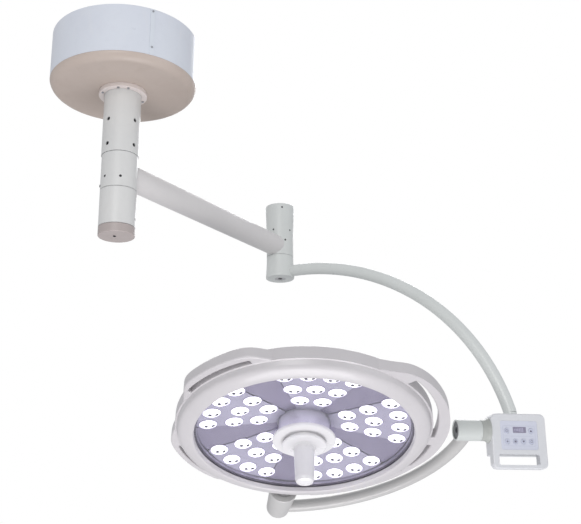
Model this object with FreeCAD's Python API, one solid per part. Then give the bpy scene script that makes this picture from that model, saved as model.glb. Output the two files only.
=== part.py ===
import FreeCAD, Part
import os
import math

V = FreeCAD.Vector

# ---------------------------------------------------------------- dimensions
# Millimetres. Origin: centre of the ceiling plate's upper face, on the mast
# axis. +Z up, +X along the yoke's horizontal pivot axis at rest.

# suspension geometry at rest
ARM_AZ = 46.5            # direction of the straight arm
ARM_LEN = 680.0          # mast axis to elbow axis
ARM_Z = -350.0
ARC_AZ = -34.5           # direction of the arc arm
ARC_Z = -426.0
ARC_STRAIGHT = 45.0
ARC_R = 610.0
ARC_ANGLE = 74.3
ARC_END_R = 52.5         # short bend that ends vertical over the control box
REACH = 526.0            # swivel axis to head centre
YOKE_TILT = 22.0
HEAD_TILT = 4.0

# canopy
CAN_R = 176.0
CAN_H = 141.0
CAN_FIL = 21.0
CAN_T = 1.5
DISH_UP = 18.0
PLATE_R = 148.0
PLATE_T = 8.0
ANCHOR_PCD = 250.0
ANCHOR_R = 6.5
ANCHOR_N = 6
ENTRY_R = 22.0
SEAM_AZ = -69.7
SEAM_SCREW_Z = (-9.0, -103.0)

# mast
DROP_R = 44.5
DROP_RI = 39.5
DROP_Z = -310.4
FLANGE_R = 75.0
FLANGE_T = 12.0
HUB_R = 43.0
SEAM1 = -311.6
SEAM2 = -400.0
SEAM3 = -490.6
HUB_END = -512.0
GAP = 0.6                # half of each running gap
SPIN_R = 25.0
VIEW_AZ = -89.5          # side of the mast that carries the small screws

# straight arm and elbow
ARM_R = 30.5
ARM_T = 4.0
ELB_TOP = -226.0
ELB_R_TOP = 41.5
ELB_R_MID = 38.6
ELB_SEAM = -381.6
ELB_R_BOT = 41.0
ELB_END = -446.0
ELB_SPIN_R = 16.0

# arc arm and swivel
ARC_TUBE_R = 16.5
ARC_TUBE_T = 3.5
SWV_R = 12.0

# control box, relative to the swivel axis / pivot axis crossing
BOX_X0, BOX_X1 = -62.0, 79.0
BOX_Z0, BOX_Z1 = -95.5, 39.5
BOX_Y0, BOX_Y1 = -27.0, 27.0
BOX_CORNER = 14.0
SLOT_X0, SLOT_X1 = -47.0, 58.0
SLOT_Z0, SLOT_Z1 = -86.0, -60.5
FRAME_Y1 = -4.0          # rear face of the slot frame
KEY_X0, KEY_X1 = -39.5, 56.5
KEY_Z0, KEY_Z1 = -49.5, 21.5
BTN_R = 6.6
BUTTONS = [("button_power", -23.0, -3.0), ("button_mode", 39.5, -3.0),
           ("button_dim", -23.0, -29.3), ("button_bright", -2.2, -29.3),
           ("button_cool", 18.6, -29.3), ("button_warm", 39.5, -29.3)]
JNT_R = 26.0
JNT_SHAFT_R = 15.0
SLV_X0, SLV_X1 = 380.0, 442.6     # rotating sleeve, from the head centre

# yoke
YOKE_R = 411.0
YOKE_OFF = 8.0
YOKE_TUBE_R = 16.5
YOKE_TUBE_T = 3.0
PH_K0, PH_K1 = 322.0, 426.0       # pivot housing
PH_R0, PH_R1 = 37.0, 31.0
PH_END = 437.0
PIV_R = 12.0

# head, z along the optical axis, light leaves towards -z
LED_ROWS = [(230.0, 13.65, 4), (168.0, 17.8, 3), (110.0, 28.2, 2)]
LED_R = 21.0
MOD_SLOPE = 6.3
MOD_HALF = 23.4
MOD_R0, MOD_R1 = 64.0, 256.0
MOD_AZ0 = -90.5
GRIP_Z0, GRIP_Z1 = -10.4, 17.5
# grip outlines, the finger slots behind them, as (radius, azimuth), and edge round
GRIPS = [
    ([(300, -169), (310, -163.5), (320, -158.5), (331, -154.5), (336.5, -150.5), (338, -145), (339, -138),
      (340, -130), (340, -125.5), (336.5, -121.5), (328, -118), (319, -115.5), (310, -112.8), (301, -110.5)],
     [[(318, -155.5), (319.5, -147), (320, -138), (320, -130), (319.5, -121.5)]], 4.5),
    ([(301, -70.5), (310, -67), (319, -62), (336, -56), (344, -50.5), (347.5, -45), (348.5, -36), (348.5, -27),
      (348.5, -18), (348, -9), (346.5, -1), (345, 6), (343, 12), (339.5, 18), (335, 24),
      (332.5, 31), (332, 39), (331, 46), (329, 55), (325.5, 65), (319, 74.5), (311, 80), (301, 84)],
     [[(328.5, -50), (327.5, -44), (325, -32), (321.5, -20), (319, -10), (318, -3)],
      [(320, 4), (320.5, 10), (320.5, 17), (320, 24)]], 4.5),
    ([(300, 116), (309, 118), (318.5, 120.5), (327, 123.5), (330, 128.5), (330.5, 136), (330.5, 147),
      (330, 155), (327.5, 162), (319.5, 167.5), (310, 173), (301, 177)],
     [[(315, 122.5), (316.5, 131), (317, 140), (316.5, 149), (315, 158)]], 2.8)]
SLOT_FIL = 4.5
LOBE = (27.0, 79.0, 316.5, -20.0)      # azimuths, radius and foot of the thick rim part
RIM_R = 308.5
GLASS_R = 265.5
BASE_R = 62.0
DISC_R = 75.5
GUARD_R = 52.7
HAND_R0, HAND_R1 = 25.2, 22.2
HAND_END = -147.0

os.makedirs("parts", exist_ok=True)


# ------------------------------------------------------------------- helpers
def save(name, shape):
    shape.exportStep("parts/%s.step" % name)


def cyl(r, z0, z1, x=0.0, y=0.0):
    return Part.makeCylinder(r, z1 - z0, V(x, y, z0), V(0, 0, 1))


def tube(ro, ri, z0, z1, x=0.0, y=0.0):
    return cyl(ro, z0, z1, x, y).cut(cyl(ri, z0 - 1, z1 + 1, x, y))


def cylax(r, p0, p1):
    p0, p1 = V(*p0), V(*p1)
    d = p1.sub(p0)
    return Part.makeCylinder(r, d.Length, p0, d)


def box(x0, x1, y0, y1, z0, z1):
    return Part.makeBox(x1 - x0, y1 - y0, z1 - z0, V(x0, y0, z0))


def group(solids):
    return Part.makeCompound(solids)


def revolve(pts, spline=None):
    """Solid of revolution about Z from (r, z) points; spline = (i, j), or a
    list of such pairs, makes each run of points i..j one smooth curve."""
    runs = dict(spline if isinstance(spline, list) else [spline] if spline else [])
    edges = []
    n = len(pts)
    P = [V(p[0], 0, p[1]) for p in pts]
    k = 0
    while k < n:
        if k in runs:
            c = Part.BSplineCurve()
            c.interpolate(P[k:runs[k] + 1])
            edges.append(c.toShape())
            k = runs[k]
            continue
        a, b = P[k], P[(k + 1) % n]
        if a.sub(b).Length > 1e-6:
            edges.append(Part.makeLine(a, b))
        k += 1
    w = Part.Wire(Part.__sortEdges__(edges))
    s = Part.Face(w).revolve(V(0, 0, 0), V(0, 0, 1), 360)
    s = Part.Solid(s.Shells[0]) if s.ShapeType != "Solid" else s
    if s.Volume < 0:
        s.reverse()
    return s


def ring_az(r, z, n, az0=0.0):
    return [(r * math.cos(math.radians(az0 + 360.0 * i / n)),
             r * math.sin(math.radians(az0 + 360.0 * i / n)), z) for i in range(n)]


def pol(r, az, z=0.0):
    a = math.radians(az)
    return V(r * math.cos(a), r * math.sin(a), z)


def radial_screw(r0, r1, az, z, rad, socket=True):
    """Screw lying along a mast radius, head face at r1."""
    p0, p1 = pol(r0, az, z), pol(r1, az, z)
    s = Part.makeCylinder(rad, r1 - r0, p0, p1.sub(p0))
    if socket:
        q = pol(r1 - rad * 0.7, az, z)
        s = s.cut(Part.makeCylinder(rad * 0.5, rad, q, p1.sub(p0)))
    return s


def pan_screw(p, d, head_r, head_h, shank_r, shank_l):
    """Pan-head screw: p under the head, d points out of the head."""
    p, d = V(*p), V(*d)
    d.normalize()
    h = Part.makeCylinder(head_r, head_h, p, d)
    h = h.cut(Part.makeCylinder(head_r * 0.45, head_h * 0.6, p + d * (head_h * 0.5), d))
    return h.fuse(Part.makeCylinder(shank_r, shank_l, p - d * shank_l, d))


def hex_prism(af, z0, z1):
    r = af / math.sqrt(3.0)
    pts = [V(r * math.cos(math.radians(60 * i)), r * math.sin(math.radians(60 * i)), z0)
           for i in range(7)]
    return Part.Face(Part.makePolygon(pts)).extrude(V(0, 0, z1 - z0))


def fil(shape, r, pick):
    es = [e for e in shape.Edges if pick(e)]
    if not es:
        return shape
    try:
        return shape.makeFillet(r, es)
    except Exception:
        return shape


def sector(r0, r1, a0, a1, z0, z1):
    pa, pb, pc = pol(r1, a0, z0), pol(r1, 0.5 * (a0 + a1), z0), pol(r1, a1, z0)
    qa, qb, qc = pol(r0, a0, z0), pol(r0, 0.5 * (a0 + a1), z0), pol(r0, a1, z0)
    w = Part.Wire([Part.Arc(pa, pb, pc).toShape(), Part.makeLine(pc, qc),
                   Part.Arc(qc, qb, qa).toShape(), Part.makeLine(qa, pa)])
    return Part.Face(w).extrude(V(0, 0, z1 - z0))


def placed(shape, pl):
    s = shape.copy()
    s.Placement = pl.multiply(s.Placement)
    return s


# -------------------------------------------------------------------- frames
c46, s46 = math.cos(math.radians(ARM_AZ)), math.sin(math.radians(ARM_AZ))
c34, s34 = math.cos(math.radians(ARC_AZ)), math.sin(math.radians(ARC_AZ))
ELBOW = V(ARM_LEN * c46, ARM_LEN * s46, 0)
b1 = math.radians(ARC_ANGLE)
RUN = ARC_STRAIGHT + ARC_R * math.sin(b1) + ARC_END_R * (1 - math.sin(b1))
DROP = ARC_R * (1 - math.cos(b1)) + ARC_END_R * math.cos(b1)
PIVOT_Z = ARC_Z - DROP - 41.0
SWIVEL = V(ELBOW.x + RUN * c34, ELBOW.y + RUN * s34, PIVOT_Z)
CENTRE = SWIVEL - V(REACH, 0, 0)
F_ELBOW = FreeCAD.Placement(ELBOW, FreeCAD.Rotation(V(0, 0, 1), ARC_AZ))
F_ARM = FreeCAD.Placement(V(0, 0, 0), FreeCAD.Rotation(V(0, 0, 1), ARM_AZ))
F_BOX = FreeCAD.Placement(SWIVEL, FreeCAD.Rotation())
F_YOKE = FreeCAD.Placement(CENTRE, FreeCAD.Rotation(V(1, 0, 0), -YOKE_TILT))
F_HEAD = F_YOKE.multiply(FreeCAD.Placement(V(0, 0, 0), FreeCAD.Rotation(V(0, 1, 0), HEAD_TILT)))

# =============================================================== ceiling body
plate = cyl(PLATE_R, -PLATE_T, 0).cut(cyl(ENTRY_R, -PLATE_T - 1, 1))
for p in ring_az(ANCHOR_PCD / 2, 0, ANCHOR_N, 30):
    plate = plate.cut(cyl(ANCHOR_R, -PLATE_T - 1, 1, p[0], p[1]))
for p in ring_az(60, 0, 4, 45):
    plate = plate.cut(cyl(5.05, -PLATE_T - 1, -1.5, p[0], p[1]))
save("ceiling_plate", plate)

# canopy side sheet and spun dish
wall = tube(CAN_R, CAN_R - CAN_T, -CAN_H + DISH_UP + 0.4, -2.0)
for zz in SEAM_SCREW_Z:
    p, q = pol(CAN_R - 4, SEAM_AZ, zz), pol(CAN_R + 4, SEAM_AZ, zz)
    wall = wall.cut(cylax(1.5, p, q))
save("canopy_wall", wall)
outer = []
for i in range(2, 9):
    t = math.radians(90.0 * i / 8)
    outer.append((CAN_R - CAN_FIL + CAN_FIL * math.cos(t), -CAN_H + CAN_FIL * (1 - math.sin(t))))
dish_pts = ([(CAN_R, -CAN_H + DISH_UP)] + outer + [(DROP_R + 1.5, -CAN_H),
            (DROP_R + 1.5, -CAN_H + 2.0)] + [(CAN_R - CAN_FIL - 2, -CAN_H + 2.0),
            (CAN_R - 10.0, -CAN_H + 7.5), (CAN_R - 4.2, -CAN_H + DISH_UP),
            (CAN_R - 4.2, -CAN_H + DISH_UP + 25), (CAN_R - CAN_T - 0.3, -CAN_H + DISH_UP + 25),
            (CAN_R - CAN_T - 0.3, -CAN_H + DISH_UP)])
dish = revolve(dish_pts)
zz = SEAM_SCREW_Z[1]
dish = dish.cut(cylax(1.6, pol(CAN_R - 8, SEAM_AZ, zz), pol(CAN_R + 4, SEAM_AZ, zz)))
save("canopy_dish", dish)

strip = tube(CAN_R + 1.4, CAN_R + 0.05, -CAN_H + DISH_UP + 2, -3.0)
w = 11.0
cutter = box(CAN_R - 20, CAN_R + 20, -w / 2, w / 2, -CAN_H, 0)
cutter.rotate(V(0, 0, 0), V(0, 0, 1), SEAM_AZ)
strip = strip.common(cutter)
for zz in SEAM_SCREW_Z:
    strip = strip.cut(cylax(1.5, pol(CAN_R - 4, SEAM_AZ, zz), pol(CAN_R + 4, SEAM_AZ, zz)))
save("canopy_seam_strip", strip)

screws = []
for zz in SEAM_SCREW_Z:
    screws.append(pan_screw(pol(CAN_R + 1.45, SEAM_AZ, zz), pol(1, SEAM_AZ), 2.5, 1.2, 1.4, 6.0))
# collar: split ring below the dish, with two face screws and a clamp screw
COL_R, COL_Z0, COL_Z1 = 58.0, -151.0, -141.2
collar = tube(COL_R, DROP_R + 0.1, COL_Z0, COL_Z1)
gap = box(DROP_R - 2, COL_R + 2, -1.6, 1.6, COL_Z0 - 1, COL_Z1 + 1)
gap.rotate(V(0, 0, 0), V(0, 0, 1), 118)
collar = collar.cut(gap)
collar = fil(collar, 1.2, lambda e: abs(e.BoundBox.ZMax - COL_Z0) < 0.01 and e.BoundBox.ZLength < 0.01
             and e.Length > 100)
for az in (-103.0, -76.0, 20.0, 200.0):
    p = pol(51.5, az, COL_Z0)
    collar = collar.cut(cyl(1.8, COL_Z0 - 1, COL_Z1 - 1, p.x, p.y))
    screws.append(pan_screw((p.x, p.y, COL_Z0 - 0.05), (0, 0, -1), 3.2, 1.6, 1.7, 7.0))
save("split_collar", collar)
save("canopy_screws", group(screws))

# power supply on the ceiling plate
psu = box(80, 150, -45, 45, -52, -PLATE_T)
psu = psu.cut(box(83, 147, -42, 42, -49, -PLATE_T - 3))
for i in range(7):
    psu = psu.cut(box(86 + 8 * i, 89 + 8 * i, -30, 30, -53, -48))
save("power_supply", psu)

# drop tube with its welded flange
drop = tube(DROP_R, DROP_RI, DROP_Z, -PLATE_T)
fl = tube(FLANGE_R, DROP_R - 0.5, -PLATE_T - FLANGE_T, -PLATE_T)
drop = drop.fuse(fl)
for p in ring_az(60, 0, 4, 45):
    drop = drop.cut(cyl(5.3, -PLATE_T - FLANGE_T - 1, -PLATE_T + 1, p[0], p[1]))
sets = []
SET_R = 4.6
for zz in (-226.0, -290.0):
    for i in range(4):
        az = VIEW_AZ + 45 + 90 * i
        drop = drop.cut(cylax(SET_R + 0.3, pol(30, az, zz), pol(60, az, zz)))
        sets.append(radial_screw(DROP_RI - 0.1, DROP_R - 1.9, az, zz, SET_R))
save("drop_tube", drop.removeSplitter())
save("mast_set_screws", group(sets))
fb = []
for p in ring_az(60, 0, 4, 45):
    h = hex_prism(16.0, -PLATE_T - FLANGE_T - 6.4, -PLATE_T - FLANGE_T - 0.0)
    h.translate(V(p[0], p[1], 0))
    fb.append(h.fuse(cyl(5.0, -PLATE_T - FLANGE_T - 0.1, -2.0, p[0], p[1])))
save("flange_bolts", group(fb))

# fixed spindle hanging in the drop tube
sp = cyl(DROP_RI - 0.15, -305.0, -212.0).fuse(cyl(SPIN_R, -482.0, -304.0))
sp = sp.cut(cyl(9.0, -490, -200))
save("mast_spindle", sp.removeSplitter())
nut = hex_prism(58.0, -480.0, -466.0).cut(cyl(SPIN_R + 0.02, -481, -465))
nut = nut.cut(cyl(40, -500, -400).cut(cyl(33.2, -501, -399)))
wash = tube(34.0, SPIN_R + 0.02, -465.95, -460.2)
save("spindle_nut", group([nut, wash]))

# ================================================================== arm body
# upper rotating hub
hub = tube(HUB_R, 30.0, SEAM2 + GAP, SEAM1)
hub = hub.cut(tube(HUB_R + 1, HUB_R - 0.9, SEAM2 + 0.3, SEAM2 + 1.3))
scr = []
for az, zz in ((VIEW_AZ + 4.0, -375.5), (-178.0, -388.0), (40.0 + 180, -372.0)):
    hub = hub.cut(cylax(3.3, pol(30.5, az, zz), pol(60, az, zz)))
    scr.append(radial_screw(31.0, HUB_R - 0.4 if az != -178.0 else HUB_R + 1.6, az, zz, 3.2))
save("mast_hub", hub)
# lower rotating hub
low = tube(HUB_R, 37.5, SEAM3 + GAP, SEAM2 - GAP)
low = low.fuse(tube(38.0, SPIN_R + 0.8, -460.0, -448.0))
low = low.fuse(tube(38.0, 30.0, -448.5, SEAM2 - GAP))
low = low.removeSplitter()
for az, zz in ((-13.0, -470.0), (167.0, -470.0)):
    low = low.cut(cylax(3.3, pol(37.0, az, zz), pol(60, az, zz)))
    scr.append(radial_screw(37.9, HUB_R - 0.4, az, zz, 3.2))
save("lower_hub", low)
cap = cyl(HUB_R, HUB_END, SEAM3 - GAP)
cap = fil(cap, 2.5, lambda e: abs(e.BoundBox.ZMax - HUB_END) < 0.01)
cap = cap.cut(cyl(37.0, HUB_END + 4, SEAM3 + 1))
cap = cap.fuse(tube(37.4, 33.0, HUB_END + 3.9, SEAM3 + 6))
cap = cap.cut(cyl(2.3, HUB_END - 1, HUB_END + 5, -4.0, -6.0))
scr.append(pan_screw((-4.0, -6.0, HUB_END - 0.05), (0, 0, -1), 3.4, 1.4, 2.0, 4.0))
save("hub_end_cap", cap.removeSplitter())
# bushes
bush = [tube(29.95, SPIN_R + 0.05, -338.0, SEAM1 - 1.0), tube(29.95, SPIN_R + 0.05, -446.0, -420.0)]

# elbow upper hub
eh_pts = [(22.0, ELB_SEAM + 0.4), (ELB_R_MID, ELB_SEAM + 0.4), (ELB_R_MID - 0.1, -352.0),
          (ELB_R_MID + 0.5, -316.0), (ELB_R_TOP - 0.6, -262.0), (ELB_R_TOP, ELB_TOP - 4.0),
          (22.0, ELB_TOP - 4.0)]
eh = revolve(eh_pts, spline=(1, 5))
eh_solid = revolve([(0.0, ELB_SEAM + 0.4)] + eh_pts[1:6] + [(0.0, ELB_TOP - 4.0)], spline=(1, 5))
ecap = cyl(ELB_R_TOP, ELB_TOP - 4.0, ELB_TOP)
ecap = fil(ecap, 2.2, lambda e: abs(e.BoundBox.ZMin - ELB_TOP) < 0.01)
ecap = ecap.fuse(cyl(21.8, ELB_TOP - 9.0, ELB_TOP - 3.9)).removeSplitter()
es = []
for az, zz in ((-90.0, -239.0), (-76.0, -338.0), (-128.0, -306.0), (-52.0, -306.0)):
    eh = eh.cut(cylax(2.7, pol(30.0, az, zz), pol(60, az, zz)))
    es.append(radial_screw(30.2, ELB_R_MID + (0.6 if zz < -300 else 2.2), az, zz, 2.6))
ebush = [tube(21.95, ELB_SPIN_R + 0.05, -278.0, -252.0), tube(21.95, ELB_SPIN_R + 0.05, -377.0, -350.0)]


def at_elbow(s):
    t = s.copy()
    t.translate(ELBOW)
    return t


eh = eh.fuse(ecap).removeSplitter()
save("elbow_hub", at_elbow(eh))
save("arm_screws", group(scr + [at_elbow(s) for s in es]))
save("arm_bushes", group(bush + [at_elbow(s) for s in ebush]))

# straight arm tube, coped to both hubs
arm = Part.makeCylinder(ARM_R, ARM_LEN, V(0, 0, ARM_Z), V(1, 0, 0))
arm_in = Part.makeCylinder(ARM_R - ARM_T, ARM_LEN + 2, V(-1, 0, ARM_Z), V(1, 0, 0))
arm = arm.cut(arm_in)
arm = placed(arm, F_ARM)
arm = arm.cut(cyl(HUB_R, -420, -280)).cut(at_elbow(eh_solid))
arm = max(arm.Solids, key=lambda s: s.Volume)
save("arm_tube", arm)

# ================================================================== arc body
el = revolve([(ELB_SPIN_R, ELB_SEAM - 0.4), (ELB_R_MID, ELB_SEAM - 0.4), (ELB_R_MID + 0.2, -400.0),
              (ELB_R_BOT, -440.0), (ELB_R_BOT - 0.6, ELB_END + 1.0), (ELB_R_BOT - 2.0, ELB_END),
              (ELB_SPIN_R, ELB_END)], spline=(1, 3))
el_solid = cyl(60, ELB_END, ELB_SEAM - 0.4).common(
    revolve([(0.0, ELB_SEAM - 0.4), (ELB_R_MID, ELB_SEAM - 0.4), (ELB_R_MID + 0.2, -400.0),
             (ELB_R_BOT, -440.0), (ELB_R_BOT - 0.6, ELB_END + 1.0), (ELB_R_BOT - 2.0, ELB_END),
             (0.0, ELB_END)], spline=(1, 3)))
save("elbow_lower_hub", at_elbow(el))
esp = cyl(ELB_SPIN_R - 0.02, ELB_END + 0.5, -240.5).cut(cyl(6.0, -470, -200))
save("elbow_spindle", at_elbow(esp))
nuts = [at_elbow(tube(20.5, ELB_SPIN_R, -250.5, -241.0).cut(box(-30, 30, 17.5, 30, -260, -230))
                 .cut(box(-30, 30, -30, -17.5, -260, -230)))]

# arc tube in the X-Z plane of its own frame, at the elbow
P0 = V(0, 0, ARC_Z)
P1 = V(ARC_STRAIGHT, 0, ARC_Z)
C1 = V(ARC_STRAIGHT, 0, ARC_Z - ARC_R)


def arc_pt(deg):
    t = math.radians(deg)
    return V(ARC_STRAIGHT + ARC_R * math.sin(t), 0, ARC_Z - ARC_R * (1 - math.cos(t)))


P2 = arc_pt(ARC_ANGLE)
t1 = math.radians(ARC_ANGLE)
C2 = V(P2.x - ARC_END_R * math.sin(t1), 0, P2.z - ARC_END_R * math.cos(t1))


def bend_pt(deg):
    t = math.radians(deg)
    return V(C2.x + ARC_END_R * math.sin(t), 0, C2.z + ARC_END_R * math.cos(t))


TEND = 84.5
path = Part.Wire([Part.makeLine(P0, P1), Part.Arc(P1, arc_pt(ARC_ANGLE / 2), P2).toShape(),
                  Part.Arc(P2, bend_pt((ARC_ANGLE + TEND) / 2), bend_pt(TEND)).toShape()])


def sweep(path, start, direction, ro, ri):
    out = []
    for r in (ro, ri):
        c = Part.Wire([Part.makeCircle(r, start, direction)])
        out.append(path.makePipeShell([c], True, True))
    return out[0].cut(out[1])


arc = sweep(path, P0, V(1, 0, 0), ARC_TUBE_R, ARC_TUBE_R - ARC_TUBE_T)
arc = placed(arc, F_ELBOW)
arc = arc.cut(at_elbow(el_solid)).cut(at_elbow(cyl(36, ELB_END, ELB_SEAM)))
arc = max(arc.Solids, key=lambda s: s.Volume)
zcut = PIVOT_Z + 46.2
arc = arc.cut(box(SWIVEL.x - 60, SWIVEL.x + 60, SWIVEL.y - 60, SWIVEL.y + 60, PIVOT_Z - 50, zcut))
arc = max(arc.Solids, key=lambda s: s.Volume)
save("arc_tube", arc)
ss = cyl(ARC_TUBE_R, 41.0, 46.2).fuse(cyl(SWV_R, -33.0, 41.5)).removeSplitter()
ss = ss.cut(cyl(4.0, -40, 50))
save("swivel_spindle", placed(ss, F_BOX))
nuts.append(placed(tube(17.0, SWV_R + 0.02, -32.0, -22.0).cut(box(-30, 30, 14.5, 30, -40, -20))
                   .cut(box(-30, 30, -30, -14.5, -40, -20)), F_BOX))
save("spindle_nuts", group(nuts))

# ================================================================== box body
def rrect_y(x0, x1, z0, z1, r, y0, y1):
    b = box(x0, x1, y0, y1, z0, z1)
    return b.makeFillet(r, [e for e in b.Edges if e.BoundBox.YLength > (y1 - y0) * 0.99])


def face_edges(b, y):
    return [e for e in b.Edges if abs(e.BoundBox.YMin - y) < 0.01 and abs(e.BoundBox.YMax - y) < 0.01]


shell = rrect_y(BOX_X0, BOX_X1, BOX_Z0, BOX_Z1, BOX_CORNER, BOX_Y0, BOX_Y1)
shell = shell.makeFillet(12.5, face_edges(shell, BOX_Y1))
shell = shell.makeFillet(3.2, face_edges(shell, BOX_Y0))
T = 3.0
cav = rrect_y(BOX_X0 + T, BOX_X1 - T, SLOT_Z1 + T, BOX_Z1 - T, BOX_CORNER - T, BOX_Y0 + T, BOX_Y1 - T)
cav = cav.makeFillet(9.5, face_edges(cav, BOX_Y1 - T))
shell = shell.cut(cav)
slot = rrect_y(SLOT_X0, SLOT_X1, SLOT_Z0, SLOT_Z1, 4.0, BOX_Y0 - 1, BOX_Y1 + 1)
shell = shell.cut(slot)
shell = shell.cut(box(BOX_X0 - 10, BOX_X1 + 10, FRAME_Y1, BOX_Y1 + 10, BOX_Z0 - 10, SLOT_Z1))
shell = shell.cut(cyl(14.0, 30, 50))
shell = shell.cut(cylax(19.0, (BOX_X0 - 5, 0, 0), (BOX_X0 + 10, 0, 0)))
# recess for the keypad
rec = rrect_y(KEY_X0, KEY_X1, KEY_Z0, KEY_Z1, 5.0, BOX_Y0 - 1, BOX_Y0 + 1.6)
shell = shell.cut(rec)
for n, bx, bz in BUTTONS:
    shell = shell.cut(cylax(BTN_R + 0.4, (bx, BOX_Y0 - 1, bz), (bx, BOX_Y0 + 6, bz)))
DSP = (-7.0, 27.0, -8.0, 6.5)
shell = shell.cut(box(DSP[0] + 1, DSP[1] - 1, BOX_Y0 - 1, BOX_Y0 + 6, DSP[2] + 1, DSP[3] - 1))
bs = []
SCP = [(-51.5, 27.5), (68.5, 27.5), (-51.5, -48.0), (68.5, -48.0)]
for sx, sz in SCP:
    shell = shell.fuse(cylax(5.0, (sx, BOX_Y0 + T - 0.2, sz), (sx, BOX_Y1 - T + 0.2, sz)))
for sx, sz in SCP:
    shell = shell.cut(cylax(2.1, (sx, -14, sz), (sx, BOX_Y1 + 2, sz)))
    shell = shell.cut(cylax(4.0, (sx, BOX_Y1 - 6.0, sz), (sx, BOX_Y1 + 2, sz)))
    bs.append(pan_screw((sx, BOX_Y1 - 5.95, sz), (0, 1, 0), 3.7, 2.4, 2.0, 20.0))
front = shell.common(box(-200, 200, -100, -0.15, -200, 200))
rear = shell.common(box(-200, 200, 0.15, 100, -200, 200))
save("box_front_shell", placed(front, F_BOX))
save("box_rear_shell", placed(rear, F_BOX))
save("box_screws", group([placed(s, F_BOX) for s in bs]))

# casting that carries both pivots and ends as the neck outside the shell
blk = box(-44, 24, -19, 19, -20, 32)
neck = Part.makeCylinder(18.8, 37.0, V(-80, 0, 0), V(1, 0, 0))
neck = neck.fuse(Part.makeCylinder(26.0, 20.85, V(BOX_X0 - 20.9, 0, 0), V(1, 0, 0)))
flare = Part.makeCone(31.0, 26.0, 8.0, V(BOX_X0 - 0.05, 0, 0), V(-1, 0, 0))
neck = neck.fuse(flare)
blk = blk.fuse(neck).removeSplitter()
blk = blk.cut(cyl(16.0, -21, 35))
blk = blk.cut(cylax(JNT_SHAFT_R + 0.02, (-100, 0, 0), (-19, 0, 0)))
save("pivot_block", placed(blk, F_BOX))
sb = [tube(15.95, SWV_R + 0.05, 12.0, 32.0), tube(15.95, SWV_R + 0.05, -20.0, -4.0)]
save("swivel_bushes", group([placed(s, F_BOX) for s in sb]))
js = cylax(JNT_SHAFT_R, (-138, 0, 0), (-19.5, 0, 0)).cut(cylax(4.5, (-139, 0, 0), (-15, 0, 0)))
clip = cylax(19.0, (-133.5, 0, 0), (-131.5, 0, 0)).cut(cylax(JNT_SHAFT_R - 1, (-140, 0, 0), (-120, 0, 0)))
js = js.fuse(clip).removeSplitter()
js = js.cut(cyl(16.5, -40, 40))
save("joint_shaft", placed(js, F_BOX))

# keypad panel, window, board, buttons
kp = rrect_y(KEY_X0 + 0.2, KEY_X1 - 0.2, KEY_Z0 + 0.2, KEY_Z1 - 0.2, 4.8, BOX_Y0 + 0.5, BOX_Y0 + 1.6)
for n, bx, bz in BUTTONS:
    kp = kp.cut(cylax(BTN_R + 0.35, (bx, BOX_Y0 - 1, bz), (bx, BOX_Y0 + 6, bz)))
kp = kp.cut(rrect_y(DSP[0] - 0.2, DSP[1] + 0.2, DSP[2] - 0.2, DSP[3] + 0.2, 1.8, BOX_Y0 - 1, BOX_Y0 + 6))
save("keypad_panel", placed(kp, F_BOX))
dw = rrect_y(DSP[0], DSP[1], DSP[2], DSP[3], 1.6, BOX_Y0 + 0.35, BOX_Y0 + 1.6)
dw = dw.fuse(box(DSP[0] + 1.3, DSP[1] - 1.3, BOX_Y0 + 1.5, BOX_Y0 + 4.0, DSP[2] + 1.3, DSP[3] - 1.3))
save("display_window", placed(dw.removeSplitter(), F_BOX))
cb = box(-42, 60, BOX_Y0 + 4.85, BOX_Y0 + 6.4, -53, 26)
for n, bx, bz in BUTTONS:
    cb = cb.fuse(cylax(3.0, (bx, BOX_Y0 + 4.3, bz), (bx, BOX_Y0 + 4.9, bz)))
cb = cb.fuse(box(DSP[0] + 3, DSP[1] - 3, BOX_Y0 + 4.2, BOX_Y0 + 4.9, DSP[2] + 3, DSP[3] - 3))
save("control_board", placed(cb.removeSplitter(), F_BOX))
for n, bx, bz in BUTTONS:
    b = cylax(BTN_R, (bx, BOX_Y0 - 0.3, bz), (bx, BOX_Y0 + 3.3, bz))
    b = fil(b, 0.5, lambda e: abs(e.BoundBox.YMax - (BOX_Y0 - 0.3)) < 0.01)
    save(n, placed(b, F_BOX))

# ================================================================= yoke body
def axx(r, x0, x1):
    return cylax(r, (x0, 0, 0), (x1, 0, 0))


def axk(r, k0, k1):
    return cylax(r, (0, k0, 0), (0, k1, 0))


def rev_k(pts, spline=None):
    s = revolve(pts, spline)
    return s.rotate(V(0, 0, 0), V(1, 0, 0), -90) or s


def about_k(shape):
    t = shape.copy()
    t.rotate(V(0, 0, 0), V(1, 0, 0), -90)
    return t


slv_solid = axx(JNT_R, SLV_X0, SLV_X1)
slv_solid = fil(slv_solid, 1.5, lambda e: abs(e.BoundBox.XMax - SLV_X0) < 0.01)
slv = slv_solid.cut(axx(20.0, SLV_X0 - 1, SLV_X1 + 1)).cut(axx(22.1, SLV_X0 - 1, SLV_X0 + 4.6))
save("joint_sleeve", placed(slv, F_YOKE))
yb = [axx(19.95, 398, 416).cut(axx(JNT_SHAFT_R + 0.05, 390, 450)),
      axx(19.95, 424, 442).cut(axx(JNT_SHAFT_R + 0.05, 390, 450))]
jcap = axx(22.0, SLV_X0 + 2.2, SLV_X0 + 4.5).fuse(axx(19.95, SLV_X0 + 4.4, SLV_X0 + 6.5)).removeSplitter()
jcap = jcap.cut(axx(7.5, SLV_X0, SLV_X0 + 7))

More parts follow.
